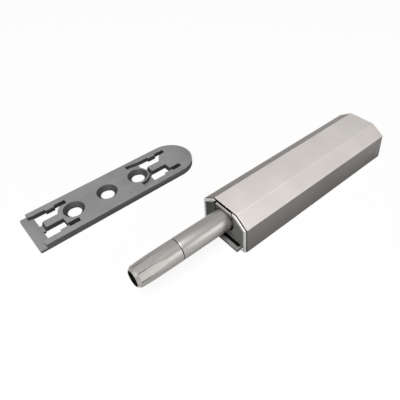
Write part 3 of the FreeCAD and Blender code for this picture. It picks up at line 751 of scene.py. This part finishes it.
@dataclass
class Housing(Assembly):
    """Cover, front cap, chassis with its screws, and the release slider."""

    edge: float = 0.12 * MM
    left_lean: float = -0.4
    back_lean: float = 0.7
    rim_depth: float = 0.46 * MM
    rim_gap: float = 0.3 * MM
    nose_gap: float = 0.2 * MM
    port_gap: float = 0.8 * MM
    gap_shadow: float = 0.95 * MM
    inward: float = -0.5
    tray_floor: float = 0.6 * MM
    screw: Screw = Screw()
    slider_spring: Spring = Spring(
        "slider_spring", "release_spring", wire=0.09 * MM, turns=9.0, points=181, sides=8,
        slack=0.03 * MM, joint="release_push", travel=1.2 * MM)

    def build(self) -> None:
        """Dress every piece of the housing."""
        self.softened("housing_cover", "housing", "nickel_cover", COVER_NICKEL, self.edge, others=(
            # The cover's front face, seen at the back of the groove, takes black as a painted
            # shadow.
            (BLACK_AND_PAINTED_SHADOW, lambda middle, normal: normal.y < -FACING),
            # The walls, the left chamfer and the back take the darker copy as painted shade.
            (COVER_PAINTED_SHADE, lambda middle, normal: (
                normal.x > FACING or normal.x < self.left_lean or normal.y > self.back_lean))))
        self.front_cap()
        # The tray's floor takes black as a painted shadow.
        self.softened("release_slider", "release", "nickel_cap", LIP_NICKEL, self.edge, others=(
            (BLACK_AND_PAINTED_SHADOW, lambda middle, normal: middle.z < self.tray_floor and normal.z > FACING),))
        self.finish_nodes({"chassis": MOULDED_GREY})
        self.screws()
        self.spring(self.slider_spring)

    def front_cap(self) -> None:
        """Dress the cap: a painted highlight on the rim, two panels in painted shade, the left one
        deeper, and painted shadow in the gaps round the nose and the plunger and in the groove.
        """
        rim_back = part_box("front_cap")[0][1] + self.rim_depth
        tube_low, tube_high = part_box("plunger_tube")
        radius = (tube_high[0] - tube_low[0]) / 2
        axis_z = (tube_low[2] + tube_high[2]) / 2
        panel_x = -radius / 2
        shadow_edge = radius + self.gap_shadow
        rim_edge = radius + self.rim_gap

        def gap_wall(middle: Vector, normal: Vector) -> bool:
            """Tell whether a face belongs to the gap round the nose or the plunger, or to the panel
            strip beside the nose; these faces take black as a painted shadow.

            Args:
                middle: the face's middle.
                normal: its normal.

            Returns:
                Whether it does.
            """
            above = middle.z > axis_z
            beside = abs(normal.x) > FACING and abs(middle.x) < radius + self.nose_gap
            shaded = normal.y < -FACING and -shadow_edge < middle.x < panel_x and above
            rim_end = middle.y < rim_back and abs(middle.x) < rim_edge and above
            out = Vector((middle.x, 0.0, middle.z - axis_z))
            port = (out.length < radius + self.port_gap
                    and normal.dot(out) < self.inward * out.length)
            return beside or port or shaded or rim_end

        def groove(middle: Vector, normal: Vector) -> bool:
            """Tell whether a face lies in the groove between rim and cover, which takes black as a
            painted shadow.

            Args:
                middle: the face's middle.
                normal: its normal.

            Returns:
                Whether it does.
            """
            return middle.y > rim_back + self.edge and normal.y > self.inward

        upright = [((place, 0.0, 0.0), (1.0, 0.0, 0.0))
                   for place in (-shadow_edge, -rim_edge, panel_x, rim_edge)]
        # Gaps and groove take black as painted shadow; the rim and the left panel take their own
        # painted light and shade.
        self.softened(
            "front_cap", "housing", "nickel_cap", CAP_NICKEL_PAINTED_SHADE, self.edge,
            others=((BLACK_AND_PAINTED_SHADOW, gap_wall), (BLACK_AND_PAINTED_SHADOW, groove),
                    # The rim takes the lighter copy as a painted highlight.
                    (RIM_PAINTED_HIGHLIGHT, lambda middle, normal: middle.y < rim_back),
                    # The left panel takes the darker copy as painted shade.
                    (CAP_DEEP_PAINTED_SHADE, lambda middle, normal: middle.x < panel_x)),
            splits=(*upright, ((0.0, 0.0, axis_z), ALONG_Z)))

    def screws(self) -> None:
        """Add the four chassis screws, head down, each with a round recess and a thread."""
        names = tuple("chassis_screw_%d" % number for number in range(1, 5))
        boxes = [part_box(name) for name in names]
        low = Vector([min(box[0][axis] for box in boxes) for axis in range(3)])
        high = Vector([max(box[1][axis] for box in boxes) for axis in range(3)])
        length = high.z - low.z
        plan = self.screw
        base = turned_mesh("screw_base", plan.outline(length), plan.sides, ALONG_Z)
        form = NodeForm("chassis_screw_set", {
            "Wire": plan.thread_depth, "Mean radius": plan.core, "Turns": plan.thread_turns,
            "Closed": plan.thread_fade, "Length": length - plan.thread_start - plan.thread_end,
            "Pitch X": high.x - low.x - 2 * plan.head, "Pitch Y": high.y - low.y - 2 * plan.head})
        both = form.threaded(plan.thread_points, (0.0, 0.0, plan.thread_start))
        grid = form.add("GeometryNodeMeshGrid", Size_X=form.size("Pitch X"),
                        Size_Y=form.size("Pitch Y"), Vertices_X=2, Vertices_Y=2)
        each = form.add("GeometryNodeInstanceOnPoints", Points=grid.outputs["Mesh"], Instance=both)
        middle = (low + high) / 2
        row = form.moved(each.outputs["Instances"], (middle.x, middle.y, low.z))
        mesh = form.mesh(row, ZINC_STEEL.material(), base)
        self.place("chassis_screws", mesh, "housing", "screw_steel", names)


@dataclass
class Cartridge(Assembly):
    """The guide of the plunger, its latching track, main spring and rear stop."""

    edge: float = 0.2 * MM
    bevel_depth: float = 0.5 * MM
    bevel_lean: float = 0.3
    nose_proud: float = 0.55 * MM
    plunger_spring: Spring = Spring(
        "plunger_spring", "main_spring", wire=0.29 * MM, turns=26.0, points=1041, sides=10,
        slack=0.05 * MM, joint="plunger_slide", travel=34.6 * MM)

    def build(self) -> None:
        """Dress every piece of the cartridge."""
        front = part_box("cartridge_nose")[0][1]
        bevel_back, proud_back = front + self.bevel_depth, front + self.nose_proud
        # The nose takes black on its sides and top as painted shadow, a lighter grey on its upward
        # bevel as a painted highlight, a darker grey on its front as painted shade, and the cap
        # panel's painted shade on its proud right side.
        self.softened(
            "cartridge_nose", "housing", "cartridge_grey", BLACK_AND_PAINTED_SHADOW, self.edge,
            others=((NOSE_PAINTED_HIGHLIGHT, lambda middle, normal: (
                        middle.y < bevel_back and normal.z > self.bevel_lean)),
                    (NOSE_PAINTED_SHADE, lambda middle, normal: (
                        middle.y < front + self.edge and abs(normal.x) < FACING)),
                    (CAP_NICKEL_PAINTED_SHADE, lambda middle, normal: (
                        middle.y < proud_back and normal.x > FACING))),
            splits=(((0.0, proud_back, 0.0), ALONG_Y),))
        self.finish_nodes({"cartridge_body": MOULDED_GREY, "cam_plate": ACETAL,
                           "rear_plug": MOULDED_GREY, "guide_rod": ZINC_STEEL,
                           "rear_buffer": BLACK_RUBBER})
        self.spring(self.plunger_spring)


# The plunger

@dataclass(frozen=True)
class Stud:
    """The threaded stud between tube and tip, with its chamfered ends."""

    chamfer: float = 0.2 * MM
    chamfer_length: float = 0.3 * MM
    slack: float = 0.05 * MM
    sides: int = 32
    thread_depth: float = 0.16 * MM
    thread_pitch: float = 1.0 * MM
    thread_fade: float = 0.1
    thread_inset: float = 0.4 * MM
    turn_points: int = 24


@dataclass
class Plunger(Assembly):
    """Tube, carriage and follower, and the tip on its threaded stud."""

    edge: float = 0.08 * MM
    taper: float = 0.1 * MM
    taper_clear: float = 3 * MM
    flats: int = 8
    flat_turn: float = 9.7
    flat_drop: float = 0.5 * MM
    flat_length: float = 12.5 * MM
    flat_clear: float = 0.5 * MM
    crease: float = 0.14 * MM
    crease_width: float = 0.24 * MM
    crease_length: float = 9 * MM
    hole: float = 2.7 * MM
    hole_depth: float = 5 * MM
    hole_round: float = 0.1 * MM
    hole_soft: float = 0.03 * MM
    hole_margin: Pair = (0.02 * MM, 1 * MM)
    bevel: float = 1.05 * MM
    bevel_round: Pair = (0.05 * MM, 0.02 * MM)
    seam_round: Pair = (0.1 * MM, 0.12 * MM)
    stud_gap: Pair = (0.05 * MM, 0.2 * MM)
    body_steps: int = 44
    flat_sides: int = 48
    stud_plan: Stud = Stud()

    def build(self) -> None:
        """Dress every piece of the plunger."""
        self.softened("plunger_tube", "plunger", "nickel_plunger", PLUNGER_NICKEL, self.edge)
        self.tip()
        self.finish_nodes({"tip_magnet": BLACK_AND_PAINTED_SHADOW, "seam_washer": BLACK_RUBBER,
                           "tip_insert": TURNED_BRASS, "carriage": ACETAL,
                           "follower_pin": DRAWN_WIRE, "follower_spring": DRAWN_WIRE})
        self.stud()

    def tip(self) -> None:
        """Make the end piece, whose flats and creases fade out towards the seam."""
        low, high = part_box("plunger_tip")
        radius = (high[0] - low[0]) / 2
        axis_z = (low[2] + high[2]) / 2
        sides = self.flat_sides * self.flats
        form = bmesh.new()
        rings = []
        for distance, along in self._tip_outline(radius, low[1], high[1]):
            ring = []
            for side in range(sides if distance > 0.0 else 1):
                angle = math.tau * side / sides
                reach = self._flattened(distance, along, angle, radius)
                ring.append(form.verts.new((reach * math.sin(angle), low[1] + along,
                                            axis_z + reach * math.cos(angle))))
            rings.append(ring)
        for near, far in zip(rings, rings[1:]):
            for side in range(sides):
                corners = [ring[place % len(ring)] for ring, place in (
                    (near, side), (near, side + 1), (far, side + 1), (far, side))]
                form.faces.new(list(dict.fromkeys(corners)))
        bmesh.ops.recalc_face_normals(form, faces=form.faces)
        mesh = smooth_mesh(form, "dressed_tip", TIP_SHARP)
        finishes = (PLUNGER_NICKEL, BLACK_AND_PAINTED_SHADOW, CREASE_PAINTED_SHADE)
        for finish in finishes:
            mesh.materials.append(finish.material())
        out, back = self.hole_margin
        for face in mesh.polygons:
            across, up = face.center.x, face.center.z - axis_z
            along = face.center.y - low[1]
            corner = self._corner_distance(math.atan2(across, up), radius)
            # Faces in the hole take black as painted shadow, and faces along the creases a darker
            # copy of the nickel as painted shade.
            if math.hypot(across, up) < self.hole + out and along < self.hole_depth + back:
                face.material_index = finishes.index(BLACK_AND_PAINTED_SHADOW)
            elif along > self.bevel and corner < self.crease_width * self._fading(along):
                face.material_index = finishes.index(CREASE_PAINTED_SHADE)
        self.place("dressed_plunger_tip", mesh, "tip", "nickel_plunger", ("plunger_tip",))

    def _tip_outline(self, radius: float, front: float, seam: float) -> list[Pair]:
        """Give the outline of the tip from the hole's floor round to the stud's hole.

        Args:
            radius: the tip's full radius.
            front: where its free end is along Y.
            seam: where its seam with the tube is along Y.

        Returns:
            The radius and the distance from the free end of each point.
        """
        run = seam - front
        stud_low, stud_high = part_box("tip_stud")
        gap, end_gap = self.stud_gap
        stud_hole = (stud_high[0] - stud_low[0]) / 2 + gap
        stud_end = stud_low[1] - front - end_gap
        end = radius - self.taper
        out, back = self.bevel_round
        seam_out, seam_back = self.seam_round
        soft = self.hole_soft
        rows = [(0.0, self.hole_depth), (self.hole, self.hole_depth), (self.hole, self.hole_round),
                (self.hole + soft, soft), (self.hole + self.hole_round, 0.0),
                (end - self.bevel, 0.0), (end - self.bevel + out, back)]
        body = run - seam_back - self.bevel
        for step in range(self.body_steps + 1):
            along = self.bevel + body * step / self.body_steps
            full = min(1.0, along / (run - self.taper_clear))
            rows.append((end + (radius - end) * full, along))
        return rows + [(radius - seam_out, run), (stud_hole, run), (stud_hole, stud_end),
                       (0.0, stud_end)]

    def _offset(self, angle: float) -> float:
        """Tell how far round the tip a point is from the middle of its flat.

        Args:
            angle: where the point is round the axis.

        Returns:
            The angle between them, below 0 on one side.
        """
        share = math.tau / self.flats
        return (angle - math.radians(self.flat_turn) + share / 2) % share - share / 2

    def _corner_distance(self, angle: float, radius: float) -> float:
        """Tell how far round the tip a point is from the nearest corner between two flats.

        Args:
            angle: where the point is round the axis.
            radius: the tip's full radius.

        Returns:
            The distance along the round outline.
        """
        return (math.pi / self.flats - abs(self._offset(angle))) * radius

    def _fading(self, along: float) -> float:
        """Give the crease's strength at a distance from the tip's end.

        Args:
            along: the distance.

        Returns:
            1 at the end, down to 0 where the crease stops.
        """
        return max(0.0, 1.0 - along / self.crease_length)

    def _flattened(self, distance: float, along: float, angle: float, radius: float) -> float:
        """Cut a point of the tip's round outline back to the nearest flat.

        Args:
            distance: the round form's radius there.
            along: how far the point is from the tip's end.
            angle: where it is round the axis.
            radius: the tip's full radius.

        Returns:
            How far out the point lies.
        """
        if distance < self.hole + self.flat_clear or along > self.flat_length:
            return distance
        drop = self.flat_drop * (1.0 - along / self.flat_length)
        plane = (radius - drop) / math.cos(self._offset(angle))
        corner = self._corner_distance(angle, radius) / self.crease_width
        return min(plane, distance) - self.crease * self._fading(along) * math.exp(-corner ** 2)

    def stud(self) -> None:
        """Make the stud between tube and tip with its real thread."""
        low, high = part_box("tip_stud")
        plan = self.stud_plan
        core = (high[0] - low[0]) / 2 - plan.thread_depth
        length = high[1] - low[1]
        end = length - plan.slack
        axis_z = (low[2] + high[2]) / 2
        narrow = core - plan.chamfer
        base = turned_mesh("stud_core", [
            (0.0, 0.0), (narrow, 0.0), (core, plan.chamfer_length),
            (core, end - plan.chamfer_length), (narrow, end), (0.0, end)],
            plan.sides, ALONG_Y, (0.0, low[1], axis_z))
        run = length - 2 * plan.thread_inset
        turns = run / plan.thread_pitch
        form = NodeForm("tip_thread", {
            "Wire": plan.thread_depth, "Mean radius": core, "Turns": turns,
            "Closed": plan.thread_fade, "Length": run})
        both = form.threaded(plan.turn_points * int(turns),
                             (0.0, high[1] - plan.thread_inset, axis_z), LAID_DOWN)
        mesh = form.mesh(both, ZINC_STEEL.material(), base)
        self.place("tip_stud_threaded", mesh, "stud", "screw_steel", ("tip_stud",))


@dataclass
class MountingPlate(Assembly):
    """The plate that is screwed to the cabinet, shown taken off."""

    edge: float = 0.12 * MM
    border: float = 0.5 * MM
    side_lean: float = 0.3
    top_lean: float = 0.8

    def build(self) -> None:
        """Dress the plate, with painted shade on the walls of its holes, slots and steps and on its
        sides.
        """
        low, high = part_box("mounting_plate")
        half = (high[0] - low[0]) / 2
        middle_x = (high[0] + low[0]) / 2
        round_y = high[1] - half

        def sunk(middle: Vector, normal: Vector) -> bool:
            """Tell whether a face is a wall inside the plate's outline.

            Args:
                middle: the face's middle.
                normal: its normal.

            Returns:
                Whether it is.
            """
            past = max(middle.y - round_y, 0.0)
            inside = (math.hypot(middle.x - middle_x, past) < half - self.border
                      and middle.y > low[1] + self.border)
            return inside and normal.z < self.top_lean

        # Walls inside the outline and the sides take darker copies as painted shade.
        self.softened("mounting_plate", "housing", "plate_grey", PLATE_GREY, self.edge, others=(
            (PLATE_RECESS_PAINTED_SHADE, sunk),
            (PLATE_SIDE_PAINTED_SHADE, lambda middle, normal: abs(normal.z) < self.side_lean)))


# Studio

@dataclass(frozen=True)
class Lamp:
    """A soft light that looks at one point."""

    name: str
    towards: Triple
    distance: float
    width: float
    height: float
    power: float

    def build(self, target: Vector) -> None:
        """Set the lamp up.

        Args:
            target: the point that it looks at.
        """
        lamp = bpy.data.lights.new(self.name, "AREA")
        lamp.shape = "RECTANGLE"
        lamp.size = self.width
        lamp.size_y = self.height
        lamp.energy = self.power
        holder = in_scene(self.name, lamp)
        way = Vector(self.towards).normalized()
        holder.location = target + way * self.distance
        holder.rotation_euler = way.to_track_quat("Z", "Y").to_euler()


@dataclass
class Studio:
    """Camera, pale floor, soft lamps and plain surroundings."""

    camera_place: Triple = (0.08471, -0.10846, 0.12343)
    azimuth: float = 50.075
    elevation: float = 36.619
    roll: float = -1.954
    lens: float = 41.33
    sensor: float = 36.0
    shift: Pair = (-0.06, -0.15)
    clip: Pair = (0.01, 20.0)
    floor_half: float = 3.0
    floor_drop: float = 0.02 * MM
    floor_roughness: float = 0.9
    floor_colour: float = 0.9
    floor_bounce: float = 0.18
    floor_glow: float = 0.9
    floor_mirrored: float = 0.85
    # What reflections see of the floor under the object drops to this strength: a painted shadow,
    # placed by the reach, range and samples below.
    floor_painted_shadow: float = 0.2
    beneath_reach: float = 25 * MM
    beneath_range: Pair = (0.4, 1.0)
    beneath_samples: int = 6
    ambient: float = 0.08
    surround: float = 0.4
    lamp_target: Triple = (-0.01, -0.02, 0.008)
    lamps: tuple[Lamp, ...] = (
        Lamp("overhead", (0.24, -0.44, 0.87), distance=1.2, width=0.8, height=0.8, power=16.6),
        Lamp("strip", (0.85, 0.42, 0.28), distance=0.9, width=0.6, height=0.5, power=1.45),
    )

    def build(self) -> None:
        """Set the whole studio up."""
        self.camera()
        self.floor()
        self.world()
        for lamp in self.lamps:
            lamp.build(Vector(self.lamp_target))
        bpy.context.scene.view_settings.view_transform = "Standard"

    def camera(self) -> None:
        """Place the camera at the photograph's angle."""
        lens = bpy.data.cameras.new("photo_camera")
        lens.lens = self.lens
        lens.sensor_width = self.sensor
        lens.shift_x, lens.shift_y = self.shift
        lens.clip_start, lens.clip_end = self.clip
        eye = in_scene("photo_camera", lens)
        azimuth, elevation = math.radians(self.azimuth), math.radians(self.elevation)
        way = Vector((math.sin(azimuth) * math.cos(elevation),
                      -math.cos(azimuth) * math.cos(elevation), math.sin(elevation)))
        eye.location = self.camera_place
        roll = Quaternion((0.0, 0.0, 1.0), math.radians(self.roll))
        eye.rotation_euler = (way.to_track_quat("Z", "Y") @ roll).to_euler()
        bpy.context.scene.camera = eye

    @staticmethod
    def _plainly_seen(tree: Tree) -> Socket:
        """Tell whether a ray shows the surroundings: seen, mirrored or through glass.

        Args:
            tree: the node tree of the floor or the world.

        Returns:
            1 for such a ray, otherwise 0.
        """
        path = tree.nodes.new("ShaderNodeLightPath")
        total = path.outputs["Is Camera Ray"]
        for label in ("Is Glossy Ray", "Is Transmission Ray"):
            total = maths(tree, "MAXIMUM", total, path.outputs[label])
        return total

    @staticmethod
    def _brightness(tree: Tree, mirrored: Socket | float) -> Socket:
        """Give white to the camera and a softer grey to what mirrors the surroundings.

        Args:
            tree: the node tree of the floor or the world.
            mirrored: the strength that reflections see.

        Returns:
            The strength of the surroundings.
        """
        path = tree.nodes.new("ShaderNodeLightPath")
        return mapped(tree, path.outputs["Is Camera Ray"], (0.0, 1.0), (mirrored, 1.0))

    def floor(self) -> None:
        """Lay a wide pale floor just under the object, which keeps a faint shadow."""
        half, level = self.floor_half, -self.floor_drop
        mesh = bpy.data.meshes.new("floor")
        mesh.from_pydata([(-half, -half, level), (half, -half, level), (half, half, level),
                          (-half, half, level)], [], [(0, 1, 2, 3)])
        mesh.materials.append(self._floor_material())
        in_scene("floor", mesh)

    def _floor_material(self) -> bpy.types.Material:
        """Build the floor's material, which glows a little where it is seen, and whose glow in
        reflections dims under the object as a painted shadow.

        Returns:
            The material.
        """
        material = bpy.data.materials.new("pale_floor")
        material.use_nodes = True
        tree = material.node_tree
        shader = tree.nodes["Principled BSDF"]
        shader.inputs["Roughness"].default_value = self.floor_roughness
        shader.inputs["Specular IOR Level"].default_value = 0.0
        # Painted shadow: reflections see the floor dimmer where the object is close.
        clear = openness(tree, self.beneath_reach, self.beneath_samples)
        mirrored = mapped(tree, clear, self.beneath_range,
                          (self.floor_painted_shadow, self.floor_mirrored))
        glow = tree.nodes.new("ShaderNodeEmission")
        tree.links.new(self._brightness(tree, mirrored), glow.inputs["Strength"])
        plain = self._plainly_seen(tree)
        tone = mapped(tree, plain, (0.0, 1.0), (self.floor_bounce, self.floor_colour))
        tree.links.new(tone, shader.inputs["Base Color"])
        share = maths(tree, "MULTIPLY", plain, self.floor_glow)
        mixed(tree, share, shader.outputs[0], glow.outputs[0], "Material Output")
        return material

    def world(self) -> None:
        """Make the world white where it is seen, and a low even light on the object."""
        world = bpy.data.worlds.new("studio")
        world.use_nodes = True
        tree = world.node_tree
        low = tree.nodes["Background"]
        low.inputs["Color"].default_value = WHITE
        low.inputs["Strength"].default_value = self.ambient
        seen = tree.nodes.new("ShaderNodeBackground")
        seen.inputs["Color"].default_value = WHITE
        tree.links.new(self._brightness(tree, self.surround), seen.inputs["Strength"])
        mixed(tree, self._plainly_seen(tree), low.outputs[0], seen.outputs[0], "World Output")
        bpy.context.scene.world = world


def main() -> None:
    """Build the studio and every sub-assembly in order."""
    logging.basicConfig(level=logging.INFO, format="%(message)s")
    Studio().build()
    for kind in (Housing, Cartridge, Plunger, MountingPlate):
        LOG.info("%s", kind.__name__)
        kind().build()


if __name__ == "__main__":
    main()
